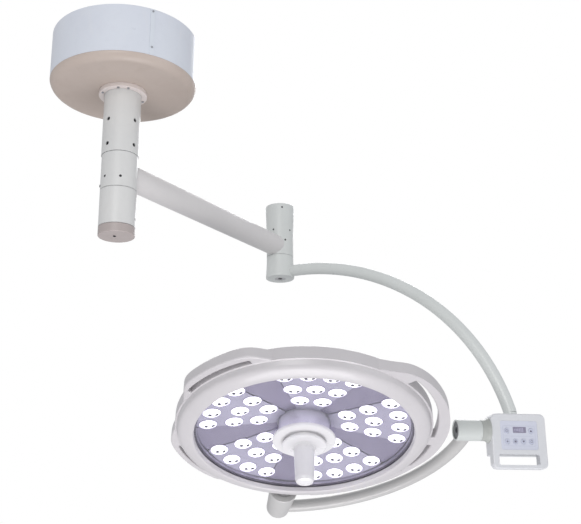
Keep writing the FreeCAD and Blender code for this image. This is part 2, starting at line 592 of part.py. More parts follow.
hs_pts = [(0.0, PH_K0), (PH_R0 - 1.0, PH_K0), (PH_R0, PH_K0 + 2.0), (PH_R1, PH_K1), (0.0, PH_K1)]
hs_solid = about_k(revolve(hs_pts))
hs = hs_solid.cut(axk(18.0, PH_K0 - 1, PH_K1 + 1))
save("pivot_housing", placed(hs, F_YOKE))
pcap = about_k(revolve([(0.0, PH_K1 + 0.2), (PH_R1 - 0.1, PH_K1 + 0.2), (PH_R1 - 1.2, PH_K1 + 5.0),
                        (PH_R1 - 5.0, PH_K1 + 9.2), (PH_R1 - 10.0, PH_END), (0.0, PH_END)], spline=(1, 4)))
pcap = pcap.fuse(axk(17.8, PH_K1 - 4.0, PH_K1 + 0.3)).removeSplitter()
save("yoke_end_caps", group([placed(jcap, F_YOKE), placed(pcap, F_YOKE)]))
yb += [axk(17.95, PH_K0 + 2, PH_K0 + 24).cut(axk(PIV_R + 0.05, 300, 450)),
       axk(17.95, 388, 408).cut(axk(PIV_R + 0.05, 300, 450))]
save("yoke_bushes", group([placed(s, F_YOKE) for s in yb]))
yw = Part.Wire([Part.makeLine(V(YOKE_R, 0, 0), V(YOKE_R, YOKE_OFF, 0)),
                Part.Arc(V(YOKE_R, YOKE_OFF, 0),
                         V(YOKE_R * math.cos(math.pi / 4), YOKE_OFF + YOKE_R * math.sin(math.pi / 4), 0),
                         V(0, YOKE_OFF + YOKE_R, 0)).toShape()])
yt = sweep(yw, V(YOKE_R, 0, 0), V(0, 1, 0), YOKE_TUBE_R, YOKE_TUBE_R - YOKE_TUBE_T)
hs_full = about_k(revolve([(0.0, PH_K0), (PH_R0 - 1.0, PH_K0), (PH_R0, PH_K0 + 2.0), (PH_R1, PH_K1),
                           (PH_R1 - 0.7, PH_END + 4), (0.0, PH_END + 4)]))
yt = yt.cut(slv_solid).cut(hs_full)
yt = max(yt.Solids, key=lambda s: s.Volume)
save("yoke_tube", placed(yt, F_YOKE))

# ================================================================= head body
rim_out = [(263.6, -32.6), (266.5, -35.0), (272.0, -34.9), (280.0, -33.2), (289.0, -30.6),
           (295.0, -27.9), (299.2, -24.6), (300.8, -22.0), (304.8, -11.6), (RIM_R, GRIP_Z0),
           (RIM_R, GRIP_Z1 + 0.1), (307.2, 20.6), (304.4, 23.2), (300.8, 24.6), (297.0, 25.0)]
rim_in = [(272.0, 25.0), (272.0, 21.2), (297.5, 21.2), (302.5, 16.5), (304.5, 9.0), (304.5, -6.0),
          (301.2, -9.0), (298.6, -17.0), (296.0, -21.0), (289.0, -25.4), (276.0, -29.6),
          (270.0, -29.8), (270.0, -23.2), (262.0, -23.2)]
rim = revolve(rim_out + rim_in, spline=[(0, 7), (10, 14)])
rim_solid = revolve([(0.0, -22.0)] + rim_out[7:11] + [(0.0, GRIP_Z1 + 0.1)])
rim = rim.cut(axk(PIV_R + 0.02, 280, 330))
COVER_SCREWS = ring_az(285.0, 0, 8, 22.5)
for p in COVER_SCREWS:
    rim = rim.cut(cyl(2.1, 20, 26, p[0], p[1]))
save("head_rim", placed(rim, F_HEAD))

# grip bars: closed loops round their finger slots, standing off the rim
def band(pts, r_in, z0, z1):
    """Plate between radius r_in and a smooth outline of (r, azimuth) points."""
    c = Part.BSplineCurve()
    c.interpolate([pol(r, a, z0) for r, a in pts])
    a0, a1 = pts[0][1], pts[-1][1]
    qa, qb = pol(r_in, a0, z0), pol(r_in, a1, z0)
    w = Part.Wire([c.toShape(), Part.makeLine(pol(pts[-1][0], a1, z0), qb),
                   Part.Arc(qb, pol(r_in, 0.5 * (a0 + a1), z0), qa).toShape(),
                   Part.makeLine(qa, pol(pts[0][0], a0, z0))])
    s = Part.Face(w).extrude(V(0, 0, z1 - z0))
    if s.Volume < 0:
        s.reverse()
    return s


def outside(e, r):
    return math.hypot(e.CenterOfMass.x, e.CenterOfMass.y) > r


grips = []
for outline, slots, edge_r in GRIPS:
    s = band(outline, 294.0, GRIP_Z0, GRIP_Z1)
    for sl in slots:
        c = band(sl, 280.0, GRIP_Z0 - 1, GRIP_Z1 + 1)
        c = fil(c, SLOT_FIL, lambda e: e.BoundBox.ZLength > 20 and outside(e, 305))
        s = s.cut(c)
    s = max(s.Solids, key=lambda q: q.Volume)
    level = [e for e in s.Edges if e.BoundBox.ZLength < 0.01 and outside(e, 309.0)]
    s = s.makeFillet(edge_r, level)
    if max(a for r, a in outline) < 90 and max(a for r, a in outline) > 0:
        lobe = sector(294.0, LOBE[2], LOBE[0], LOBE[1], LOBE[3], GRIP_Z0 + 3.0)
        lobe = fil(lobe, 14.0, lambda e: e.BoundBox.ZLength > 10 and outside(e, 310))
        lobe = fil(lobe, 4.0, lambda e: e.BoundBox.ZLength < 0.01 and outside(e, 300)
                   and e.BoundBox.ZMax < LOBE[3] + 0.01)
        s = s.fuse(lobe).removeSplitter()
    s = s.cut(rim_solid)
    s = max(s.Solids, key=lambda q: q.Volume)
    grips.append(placed(s, F_HEAD))
save("grip_bars", group(grips))

# rear cover
rc_o = [(299.0, 25.3), (296.0, 28.5), (286.0, 32.0), (240.0, 42.0), (150.0, 52.0), (0.0, 56.0)]
rc = revolve([(0.0, 53.0), (150.0, 49.0), (240.0, 39.0), (284.0, 29.5), (270.0, 28.8), (270.0, 25.3)]
             + rc_o)
cs = []
for p in COVER_SCREWS:
    rc = rc.cut(cyl(2.1, 20, 40, p[0], p[1]))
    rc = rc.cut(cyl(4.4, 30.0, 40, p[0], p[1]))
    cs.append(pan_screw((p[0], p[1], 30.05), (0, 0, 1), 3.9, 2.2, 2.0, 12.0))
save("rear_cover", placed(rc, F_HEAD))
save("cover_screws", group([placed(s, F_HEAD) for s in cs]))

# chassis with the pivot bracket
ch = cyl(291.0, 17.0, 21.0)
for a in range(5):
    q = pol(195.0, MOD_AZ0 + 36 + 72 * a)
    ch = ch.cut(cyl(24.0, 16, 22, q.x, q.y))
for p in COVER_SCREWS:
    ch = ch.cut(cyl(2.05, 16, 22, p[0], p[1]))
br = box(-22, 22, 272.5, 289.5, -18.0, 17.5)
br = br.fuse(box(-20, 20, 289.0, 296.5, -13.0, 11.0))
ch = ch.fuse(br).removeSplitter()
ch = ch.cut(axk(PIV_R + 0.02, 260, 330))
ch = ch.cut(cyl(10.0, 10, 30))
save("chassis", placed(ch, F_HEAD))
ps = axk(PIV_R, 268.0, 412.0).fuse(axk(17.0, 409.5, 412.0))
ps = ps.fuse(axk(22.0, 309.0, 319.0)).removeSplitter()
ps = ps.cut(axk(5.0, 260, 420))
save("pivot_shaft", placed(ps, F_HEAD))

# module frame: tilted so that the inner end sits deeper
def mod_frame(i):
    az = MOD_AZ0 + 72 * i
    return FreeCAD.Placement(V(0, 0, 0), FreeCAD.Rotation(V(0, 0, 1), az)).multiply(
        FreeCAD.Placement(V(230, 0, -7.0), FreeCAD.Rotation(V(0, 1, 0), MOD_SLOPE))).multiply(
        FreeCAD.Placement(V(-230, 0, 0), FreeCAD.Rotation()))


cl = math.cos(math.radians(MOD_SLOPE))
mp0 = sector(MOD_R0, MOD_R1, -MOD_HALF, MOD_HALF, 0.0, 3.0)
mp0 = fil(mp0, 6.0, lambda e: e.BoundBox.ZLength > 2.5)
mb0 = sector(MOD_R0 + 8, MOD_R1 - 4, -MOD_HALF + 1.5, MOD_HALF - 1.5, 3.05, 4.6)
lens_pts = []
for r, da, n in LED_ROWS:
    for j in range(n):
        a = math.radians((j - (n - 1) / 2.0) * da)
        lens_pts.append((r * math.cos(a), r * math.sin(a)))
for lx, ly in lens_pts:
    mp0 = mp0.cut(cyl(LED_R - 3.0, -1, 4, lx, ly))


def with_chips(board, i):
    """Board with its paired emitters; every pair lies along the head's X."""
    a = math.radians(-(MOD_AZ0 + 72 * i))
    dx, dy = 6.5 * math.cos(a), 6.5 * math.sin(a)
    pads = [cyl(3.3, 1.2, 3.2, lx + s * dx, ly + s * dy) for lx, ly in lens_pts for s in (-1, 1)]
    return board.fuse(pads).removeSplitter()


lens0 = []
LR = 38.0
for lx, ly in lens_pts:
    d = cyl(LED_R, -5.5, -0.05, lx, ly)
    sph = Part.makeSphere(LR, V(lx, ly, -5.5 - 0.9 + LR))
    lo = cyl(LED_R, -7.5, -0.05, lx, ly).common(sph)
    lens0.append(lo)
hsb = sector(138.0, 250.0, -MOD_HALF + 3, MOD_HALF - 3, 4.65, 7.6)
fins = []
for j in range(-5, 6):
    fins.append(box(150, 240, 11.0 * j - 1.1, 11.0 * j + 1.1, 7.0, 32.0))
hw = sector(140.0, 248.0, -MOD_HALF + 4, MOD_HALF - 4, 0.0, 40.0)
fins = [f.common(hw) for f in fins]
fins = [f for f in fins if f.Solids]
hs0 = hsb.fuse(fins)
limit = cyl(400, -60, 16.9)
mods, boards, lenses, sinks = [], [], [], []
for i in range(5):
    fr = F_HEAD.multiply(mod_frame(i))
    mods.append(placed(mp0, fr))
    boards.append(placed(with_chips(mb0, i), fr))
    lenses += [placed(l, fr) for l in lens0]
    h = placed(hs0, mod_frame(i)).common(limit)
    h = max(h.Solids, key=lambda q: q.Volume)
    sinks.append(placed(h, F_HEAD))
save("module_panels", group(mods))
save("led_boards", group(boards))
save("led_lenses", group(lenses))
save("heat_sinks", group(sinks))

# darker wedges between the modules
wg = []
for i in range(5):
    az = MOD_AZ0 + 36 + 72 * i
    s = sector(MOD_R0, 258.0, -36 + MOD_HALF + 0.7, 36 - MOD_HALF - 0.7, 0.0, 2.5)
    fr = F_HEAD.multiply(FreeCAD.Placement(V(0, 0, 0), FreeCAD.Rotation(V(0, 0, 1), az))).multiply(
        FreeCAD.Placement(V(230, 0, -4.2), FreeCAD.Rotation(V(0, 1, 0), MOD_SLOPE))).multiply(
        FreeCAD.Placement(V(-230, 0, 0), FreeCAD.Rotation()))
    wg.append(placed(s, fr))
save("wedge_panels", group(wg))

glass = tube(GLASS_R, BASE_R + 0.4, -23.0, -19.8)
save("glass_cover", placed(glass, F_HEAD))
gk = tube(GLASS_R, 258.6, -19.75, -16.5)
save("cover_gasket", placed(gk, F_HEAD))

# centre stack
cr = tube(BASE_R, BASE_R - 3.0, -30.0, 16.9)
save("centre_ring", placed(cr, F_HEAD))
cd = revolve([(0.0, -46.0), (44.0, -46.0), (46.0, -40.0), (DISC_R - 2.0, -39.0), (DISC_R, -37.0),
              (DISC_R, -32.0), (DISC_R - 1.5, -30.05), (0.0, -30.05)])
post = cyl(13.0, -128.0, -45.0).fuse(cyl(20.0, -31, 16.9))
cd = cd.fuse(post).removeSplitter()
save("handle_post", placed(cd, F_HEAD))

# ============================================================== handle body
hd = revolve([(13.3, -46.4), (GUARD_R - 1.5, -46.4), (GUARD_R, -48.0), (GUARD_R, -52.0),
              (GUARD_R - 2.0, -54.0), (HAND_R0 + 3.0, -55.5), (HAND_R0, -59.0), (HAND_R0 - 0.3, -75.0),
              (HAND_R1 + 0.6, -120.0), (HAND_R1, HAND_END + 9.0), (HAND_R1 - 2.6, HAND_END + 2.6),
              (HAND_R1 - 9.0, HAND_END), (0.0, HAND_END), (0.0, -129.5), (13.3, -129.5)])
save("sterile_handle", placed(hd, F_HEAD))
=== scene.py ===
import math
import bpy
import bmesh
from mathutils import Matrix, Vector


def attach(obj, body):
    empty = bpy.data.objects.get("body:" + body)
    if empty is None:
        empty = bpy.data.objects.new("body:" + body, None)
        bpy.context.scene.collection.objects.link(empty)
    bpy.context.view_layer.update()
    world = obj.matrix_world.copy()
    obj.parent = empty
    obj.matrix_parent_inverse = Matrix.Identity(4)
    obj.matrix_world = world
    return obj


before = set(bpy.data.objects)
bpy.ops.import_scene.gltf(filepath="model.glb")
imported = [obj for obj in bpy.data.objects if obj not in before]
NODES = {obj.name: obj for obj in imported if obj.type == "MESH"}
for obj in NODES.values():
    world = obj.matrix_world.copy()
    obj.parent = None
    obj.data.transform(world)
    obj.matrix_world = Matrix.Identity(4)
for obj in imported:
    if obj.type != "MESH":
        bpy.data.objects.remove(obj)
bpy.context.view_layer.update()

scene = bpy.context.scene

# ------------------------------------------------------------------ layout
# metres, in the row frame
SWIVEL = Vector((0.99074, 0.13404, -0.92614))
CENTRE = Vector((0.46474, 0.13404, -0.92614))
ELBOW = Vector((0.46808, 0.49325, 0.0))
YT = math.radians(-22.0)
HT = math.radians(4.0)
R_YOKE = Matrix.Rotation(YT, 4, "X")
R_HEAD = R_YOKE @ Matrix.Rotation(HT, 4, "Y")
F_HEAD = Matrix.Translation(CENTRE) @ R_HEAD
F_YOKE = Matrix.Translation(CENTRE) @ R_YOKE
F_BOX = Matrix.Translation(SWIVEL)

# ------------------------------------------------------------------ camera
cam_data = bpy.data.cameras.new("view")
cam = bpy.data.objects.new("view", cam_data)
scene.collection.objects.link(cam)
cam_data.sensor_fit = "HORIZONTAL"
cam_data.sensor_width = 36.0
cam_data.lens = 61.23
cam_data.clip_start, cam_data.clip_end = 0.05, 80.0
CAM_POS = Vector((0.01951, -2.20714, -1.27268))
yaw, pitch, roll = math.radians(10.067), math.radians(17.783), math.radians(0.47)
fwd = Vector((math.sin(yaw) * math.cos(pitch), math.cos(yaw) * math.cos(pitch), math.sin(pitch)))
right0 = Vector((math.cos(yaw), -math.sin(yaw), 0.0))
up0 = right0.cross(fwd)
right = right0 * math.cos(roll) - up0 * math.sin(roll)
up = right0 * math.sin(roll) + up0 * math.cos(roll)
rot = Matrix((right, up, -fwd)).transposed()
cam.rotation_mode = "QUATERNION"
cam.matrix_world = Matrix.Translation(CAM_POS) @ rot.to_4x4()
scene.camera = cam

scene.view_settings.view_transform = "Standard"
scene.view_settings.look = "None"


# --------------------------------------------------------------- materials
def new_mat(name):
    m = bpy.data.materials.new(name)
    m.use_nodes = True
    nt = m.node_tree
    p = next(n for n in nt.nodes if n.type == "BSDF_PRINCIPLED")
    return m, nt, p


def coords(nt, scale=1.0, stretch=None):
    tc = nt.nodes.new("ShaderNodeTexCoord")
    mp = nt.nodes.new("ShaderNodeMapping")
    nt.links.new(tc.outputs["Object"], mp.inputs["Vector"])
    mp.inputs["Scale"].default_value = stretch or (scale, scale, scale)
    return mp.outputs["Vector"]


def noise(nt, vec, scale, detail=4.0, rough=0.55, distort=0.0):
    n = nt.nodes.new("ShaderNodeTexNoise")
    nt.links.new(vec, n.inputs["Vector"])
    n.inputs["Scale"].default_value = scale
    n.inputs["Detail"].default_value = detail
    n.inputs["Roughness"].default_value = rough
    n.inputs["Distortion"].default_value = distort
    return n.outputs["Fac"]


def ramp(nt, fac, stops):
    r = nt.nodes.new("ShaderNodeValToRGB")
    nt.links.new(fac, r.inputs["Fac"])
    els = r.color_ramp.elements
    while len(els) < len(stops):
        els.new(0.5)
    for e, (pos, col) in zip(els, stops):
        e.position = pos
        e.color = (col[0], col[1], col[2], 1.0) if hasattr(col, "__len__") else (col, col, col, 1.0)
    return r.outputs["Color"]


def mix_rgb(nt, fac, a, b, blend="MIX"):
    n = nt.nodes.new("ShaderNodeMix")
    n.data_type = "RGBA"
    n.blend_type = blend
    n.clamp_factor = True
    for sock, val in (("Factor", fac), ("A", a), ("B", b)):
        inp = [i for i in n.inputs if i.name == sock and (
            i.type == ("VALUE" if sock == "Factor" else "RGBA"))][0]
        if isinstance(val, bpy.types.NodeSocket):
            nt.links.new(val, inp)
        elif sock == "Factor":
            inp.default_value = val
        else:
            inp.default_value = (val[0], val[1], val[2], 1.0)
    return [o for o in n.outputs if o.type == "RGBA"][0]


def map_range(nt, val, a, b, c, d):
    n = nt.nodes.new("ShaderNodeMapRange")
    nt.links.new(val, n.inputs["Value"])
    n.inputs["From Min"].default_value = a
    n.inputs["From Max"].default_value = b
    n.inputs["To Min"].default_value = c
    n.inputs["To Max"].default_value = d
    return n.outputs["Result"]


def bump(nt, height, strength, distance, normal=None):
    n = nt.nodes.new("ShaderNodeBump")
    nt.links.new(height, n.inputs["Height"])
    n.inputs["Strength"].default_value = strength
    n.inputs["Distance"].default_value = distance
    if normal is not None:
        nt.links.new(normal, n.inputs["Normal"])
    return n.outputs["Normal"]


def shade(c, k):
    return tuple(max(0.0, min(1.0, v * k)) for v in c)


def paint(name, col, col2=None, rough=0.36, peel=0.25, coat=0.0, dust=None, peel_scale=420.0):
    """Sprayed paint or moulded plastic: soft mottling, orange peel, uneven gloss."""
    m, nt, p = new_mat(name)
    v = coords(nt)
    broad = noise(nt, v, 5.5, 3.0, 0.5)
    fine = noise(nt, v, 60.0, 5.0, 0.62)
    base = mix_rgb(nt, map_range(nt, broad, 0.3, 0.7, 0.0, 1.0), col, col2 or shade(col, 0.94))
    specks = ramp(nt, fine, [(0.0, 0.95), (0.5, 1.0), (0.78, 1.0), (1.0, 0.93)])
    base = mix_rgb(nt, 1.0, base, specks, "MULTIPLY")
    if dust is not None:
        smear = noise(nt, coords(nt, stretch=(3.0, 3.0, 0.8)), 9.0, 4.0, 0.6, 0.6)
        base = mix_rgb(nt, map_range(nt, smear, 0.56, 0.78, 0.0, 0.45), base, dust)
    nt.links.new(base, p.inputs["Base Color"])
    r = map_range(nt, noise(nt, v, 22.0, 4.0, 0.6), 0.3, 0.75, rough * 0.82, rough * 1.2)
    nt.links.new(r, p.inputs["Roughness"])
    peelh = noise(nt, v, peel_scale, 2.0, 0.45)
    nrm = bump(nt, peelh, peel, 0.0006)
    nrm = bump(nt, fine, peel * 0.25, 0.0006, nrm)
    nt.links.new(nrm, p.inputs["Normal"])
    p.inputs["Coat Weight"].default_value = coat
    p.inputs["Coat Roughness"].default_value = 0.12
    p.inputs["IOR"].default_value = 1.48
    return m


def metal(name, col, rough=0.3, brushed=(1.0, 1.0, 1.0), scale=260.0, dark=0.8):
    m, nt, p = new_mat(name)
    v = coords(nt, stretch=brushed)
    g = noise(nt, v, scale, 4.0, 0.6)
    blot = noise(nt, coords(nt), 30.0, 3.0, 0.5)
    base = mix_rgb(nt, map_range(nt, g, 0.3, 0.7, 0.0, 1.0), shade(col, dark), col)
    base = mix_rgb(nt, map_range(nt, blot, 0.5, 0.8, 0.0, 0.35), base, shade(col, 0.7))
    nt.links.new(base, p.inputs["Base Color"])
    nt.links.new(map_range(nt, g, 0.2, 0.8, rough * 0.75, rough * 1.35), p.inputs["Roughness"])
    nt.links.new(bump(nt, g, 0.2, 0.0004), p.inputs["Normal"])
    p.inputs["Metallic"].default_value = 1.0
    return m


M = {}
M["canopy"] = paint("canopy_sheet_paint", (0.70, 0.735, 0.80), (0.66, 0.69, 0.765), 0.33, 0.22,
                    coat=0.15, dust=(0.74, 0.75, 0.78))
M["strip"] = paint("seam_strip_paint", (0.70, 0.74, 0.80), (0.66, 0.70, 0.76), 0.3, 0.18, coat=0.15)
# dish colour: darker and warmer than the wall paint, partly its own tone, partly painted shade on the downward face
M["dish"] = paint("canopy_dish_paint_and_shade", (0.54, 0.46, 0.41), (0.49, 0.41, 0.36), 0.42, 0.3,
                  dust=(0.46, 0.38, 0.33))
M["collar"] = paint("collar_moulding", (0.80, 0.72, 0.69), (0.76, 0.69, 0.66), 0.4, 0.2)
M["mast"] = paint("mast_paint", (0.70, 0.70, 0.69), (0.66, 0.665, 0.66), 0.34, 0.25, coat=0.1,
                  dust=(0.66, 0.645, 0.63))
M["arm"] = paint("arm_paint_warm", (0.73, 0.71, 0.705), (0.69, 0.67, 0.67), 0.38, 0.25, coat=0.1)
M["elbow"] = paint("elbow_paint", (0.70, 0.725, 0.71), (0.655, 0.675, 0.66), 0.36, 0.25, coat=0.1)
M["arc"] = paint("arc_paint", (0.70, 0.725, 0.71), (0.66, 0.685, 0.67), 0.3, 0.22, coat=0.2)
M["sleeve"] = paint("sleeve_paint", (0.60, 0.625, 0.61), (0.56, 0.585, 0.57), 0.32, 0.22, coat=0.15)
M["yoke"] = paint("yoke_paint", (0.53, 0.525, 0.515), (0.49, 0.485, 0.48), 0.34, 0.22, coat=0.15)
# hub end cap: darker than the mast paint, partly its own tone, partly painted shade on the downward-facing cap
M["endcap"] = paint("hub_end_paint_and_shade", (0.46, 0.405, 0.39), (0.42, 0.37, 0.355), 0.4, 0.25)
M["rim"] = paint("rim_moulding", (0.60, 0.58, 0.595), (0.56, 0.54, 0.555), 0.34, 0.16, coat=0.2,
                 peel_scale=520.0)
M["rear"] = paint("rear_cover_moulding", (0.70, 0.70, 0.69), (0.66, 0.66, 0.65), 0.36, 0.2, coat=0.1)
M["box"] = paint("box_moulding", (0.69, 0.695, 0.72), (0.66, 0.67, 0.695), 0.32, 0.16, coat=0.2,
                 peel_scale=600.0)
M["neck"] = paint("neck_casting_paint", (0.43, 0.445, 0.425), (0.39, 0.405, 0.385), 0.38, 0.3)
M["keypad"] = paint("keypad_film", (0.64, 0.66, 0.755), (0.60, 0.62, 0.715), 0.45, 0.3, peel_scale=900.0)
M["button"] = paint("button_film", (0.56, 0.585, 0.70), (0.52, 0.545, 0.66), 0.42, 0.3, peel_scale=900.0)
M["handle"] = paint("handle_moulding", (0.78, 0.77, 0.785), (0.74, 0.73, 0.75), 0.3, 0.18, coat=0.25)
M["post"] = paint("post_moulding", (0.76, 0.75, 0.765), (0.72, 0.71, 0.725), 0.32, 0.18, coat=0.2)
M["ring"] = paint("centre_ring_moulding", (0.78, 0.765, 0.83), (0.73, 0.715, 0.79), 0.25, 0.12, coat=0.4)
M["module"] = paint("module_face", (0.50, 0.485, 0.57), (0.43, 0.415, 0.50), 0.22, 0.12, coat=0.5)
M["wedge"] = paint("wedge_face", (0.31, 0.285, 0.37), (0.25, 0.23, 0.31), 0.2, 0.12, coat=0.5)
M["seal"] = paint("rubber_seal", (0.13, 0.12, 0.155), (0.09, 0.085, 0.11), 0.7, 0.3)
# near-black painted shade meant for gaps between parts; not assigned to any node
M["gap"] = paint("gap_painted_shade", (0.05, 0.045, 0.06), (0.03, 0.03, 0.04), 0.7, 0.2)
# turned end caps: the big one painted; the small one in the joint sleeve is coloured near-black, a painted shade
# standing in for the shade of its recess
m, nt, p = new_mat("end_caps")
v = coords(nt)
sep = nt.nodes.new("ShaderNodeSeparateXYZ")
nt.links.new(v, sep.inputs["Vector"])
# mask by object X: caps beyond x 0.72 get the near-black painted-shade colour
shaded_cap_mask = map_range(nt, sep.outputs["X"], 0.70, 0.72, 0.0, 1.0)
grain = noise(nt, v, 55.0, 5.0, 0.6)
lightc = mix_rgb(nt, grain, (0.53, 0.525, 0.515), (0.49, 0.485, 0.48))
# near-black painted shade for the joint-sleeve cap
recess_shade_col = mix_rgb(nt, grain, (0.16, 0.165, 0.17), (0.09, 0.095, 0.10))
nt.links.new(mix_rgb(nt, shaded_cap_mask, lightc, recess_shade_col), p.inputs["Base Color"])
nt.links.new(map_range(nt, grain, 0.3, 0.7, 0.3, 0.44), p.inputs["Roughness"])
nt.links.new(bump(nt, noise(nt, v, 420.0, 2.0, 0.45), 0.22, 0.0006), p.inputs["Normal"])
M["caps"] = m
M["board"] = paint("circuit_board", (0.03, 0.16, 0.07), (0.02, 0.11, 0.05), 0.45, 0.3)
M["psu"] = paint("supply_case_paint", (0.12, 0.125, 0.13), (0.09, 0.095, 0.10), 0.5, 0.3)
M["print"] = paint("printed_mark", (0.16, 0.15, 0.21), (0.12, 0.11, 0.16), 0.6, 0.1)
M["steel"] = metal("turned_steel", (0.60, 0.60, 0.61), 0.28)
M["screw"] = metal("plated_screw", (0.52, 0.53, 0.56), 0.34)
M["dark"] = metal("blackened_steel", (0.10, 0.10, 0.105), 0.42, dark=0.6)
M["bronze"] = metal("bush_bronze", (0.62, 0.42, 0.20), 0.32)
M["alloy"] = metal("cast_alloy", (0.62, 0.63, 0.64), 0.45, scale=120.0)

# display window: dark smoked cover
m, nt, p = new_mat("display_cover")
v = coords(nt)
g = noise(nt, v, 120.0, 3.0)
nt.links.new(mix_rgb(nt, map_range(nt, g, 0.35, 0.65, 0.0, 1.0), (0.30, 0.285, 0.38), (0.25, 0.235, 0.32)),
             p.inputs["Base Color"])
nt.links.new(map_range(nt, g, 0.3, 0.7, 0.08, 0.16), p.inputs["Roughness"])
nt.links.new(bump(nt, noise(nt, v, 300.0, 2.0), 0.05, 0.0003), p.inputs["Normal"])
p.inputs["Coat Weight"].default_value = 0.6
M["display"] = m


def led_material(name, strength):
    """Lit lens: a little cooler in places."""
    m, nt, p = new_mat(name)
    v = coords(nt)
    g = noise(nt, v, 90.0, 3.0, 0.5)
    col = mix_rgb(nt, map_range(nt, g, 0.35, 0.65, 0.0, 1.0), (1.0, 0.985, 1.0), (0.93, 0.93, 1.0))
    nt.links.new(col, p.inputs["Base Color"])
    nt.links.new(col, p.inputs["Emission Color"])
    p.inputs["Emission Strength"].default_value = strength
    nt.links.new(map_range(nt, g, 0.3, 0.7, 0.12, 0.22), p.inputs["Roughness"])
    nt.links.new(bump(nt, noise(nt, v, 260.0, 2.0), 0.1, 0.0004), p.inputs["Normal"])
    return m


M["lens"] = led_material("lit_lens", 1.25)

# clear front cover: looks through, mirrors at the Fresnel share
m = bpy.data.materials.new("clear_cover")
m.use_nodes = True
nt = m.node_tree
for n in list(nt.nodes):
    if n.type != "OUTPUT_MATERIAL":
        nt.nodes.remove(n)
out = next(n for n in nt.nodes if n.type == "OUTPUT_MATERIAL")
tr = nt.nodes.new("ShaderNodeBsdfTransparent")
tr.inputs["Color"].default_value = (0.965, 0.96, 0.985, 1.0)
gl = nt.nodes.new("ShaderNodeBsdfGlossy")
gl.inputs["Color"].default_value = (1.0, 1.0, 1.0, 1.0)
lw = nt.nodes.new("ShaderNodeLayerWeight")
lw.inputs["Blend"].default_value = 0.5
pw = nt.nodes.new("ShaderNodeMath")
pw.operation = "POWER"
pw.inputs[1].default_value = 4.0
nt.links.new(lw.outputs["Facing"], pw.inputs[0])
mirror = map_range(nt, pw.outputs["Value"], 0.0, 1.0, 0.03, 0.85)
mx = nt.nodes.new("ShaderNodeMixShader")
v = coords(nt)
nrm = bump(nt, noise(nt, v, 7.0, 2.0, 0.4), 0.12, 0.002)
nt.links.new(nrm, gl.inputs["Normal"])
nt.links.new(map_range(nt, noise(nt, v, 35.0, 4.0), 0.3, 0.75, 0.05, 0.14), gl.inputs["Roughness"])
nt.links.new(mirror, mx.inputs["Fac"])
nt.links.new(tr.outputs["BSDF"], mx.inputs[1])
nt.links.new(gl.outputs["BSDF"], mx.inputs[2])
nt.links.new(mx.outputs["Shader"], out.inputs["Surface"])
M["glass"] = m

ASSIGN = {
    "ceiling_plate": "steel", "flange_bolts": "steel", "canopy_wall": "canopy", "canopy_dish": "dish",
    "canopy_seam_strip": "strip", "canopy_screws": "screw", "split_collar": "collar",
    "power_supply": "psu", "drop_tube": "mast", "mast_set_screws": "dark", "mast_spindle": "steel",
    "spindle_nut": "steel", "mast_hub": "mast", "lower_hub": "mast", "hub_end_cap": "endcap",
    "arm_screws": "dark", "arm_bushes": "bronze", "arm_tube": "arm", "elbow_hub": "elbow",
    "elbow_lower_hub": "elbow", "elbow_spindle": "steel", "arc_tube": "arc", "swivel_spindle": "arc",
    "spindle_nuts": "steel", "box_front_shell": "box", "box_rear_shell": "box", "box_screws": "dark",
    "pivot_block": "neck", "swivel_bushes": "bronze", "joint_shaft": "steel", "keypad_panel": "keypad",
    "display_window": "display", "control_board": "board", "joint_sleeve": "sleeve",
    "yoke_bushes": "bronze", "yoke_end_caps": "caps", "yoke_tube": "yoke", "pivot_housing": "yoke",
    "head_rim": "rim", "grip_bars": "rim", "rear_cover": "rear", "cover_screws": "steel",
    "chassis": "alloy", "pivot_shaft": "steel", "module_panels": "module", "led_boards": "board",
    "led_lenses": "lens", "heat_sinks": "alloy", "wedge_panels": "wedge", "glass_cover": "glass",
    "cover_gasket": "seal", "centre_ring": "ring", "handle_post": "post", "sterile_handle": "handle",
}
for n in ("power", "mode", "dim", "bright", "cool", "warm"):
    ASSIGN["button_" + n] = "button"
for node, obj in NODES.items():
    mat = M[ASSIGN[node]]
    obj.data.materials.clear()
    obj.data.materials.append(mat)


# ----------------------------------------------------------- detail pieces
def make(name, verts, faces, mat, body, smooth=False):
    me = bpy.data.meshes.new(name)
    me.from_pydata([tuple(v) for v in verts], [], faces)
    me.validate()
    bm = bmesh.new()
    bm.from_mesh(me)
    bmesh.ops.recalc_face_normals(bm, faces=bm.faces)
    bm.to_mesh(me)
    bm.free()
    if smooth:
        for poly in me.polygons:
            poly.use_smooth = True
    me.materials.append(mat)
    ob = bpy.data.objects.new(name, me)
    scene.collection.objects.link(ob)
    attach(ob, body)
    return ob


MM = 0.001
LED_ROWS = [(230.0, 13.65, 4), (168.0, 17.8, 3), (110.0, 28.2, 2)]
LENS_XY = []
for r, da, cnt in LED_ROWS:
    for j in range(cnt):
        a = math.radians((j - (cnt - 1) / 2.0) * da)
        LENS_XY.append((r * math.cos(a), r * math.sin(a)))


def mod_matrix(i):
    return (Matrix.Rotation(math.radians(-90.5 + 72 * i), 4, "Z")
            @ Matrix.Translation((0.230, 0, -0.007))
            @ Matrix.Rotation(math.radians(6.3), 4, "Y")
            @ Matrix.Translation((-0.230, 0, 0)))


LENS_R, LENS_Z = 38.0, 31.6


def on_lens(x, y, lift):
    return LENS_Z - math.sqrt((LENS_R + lift) ** 2 - x * x - y * y)


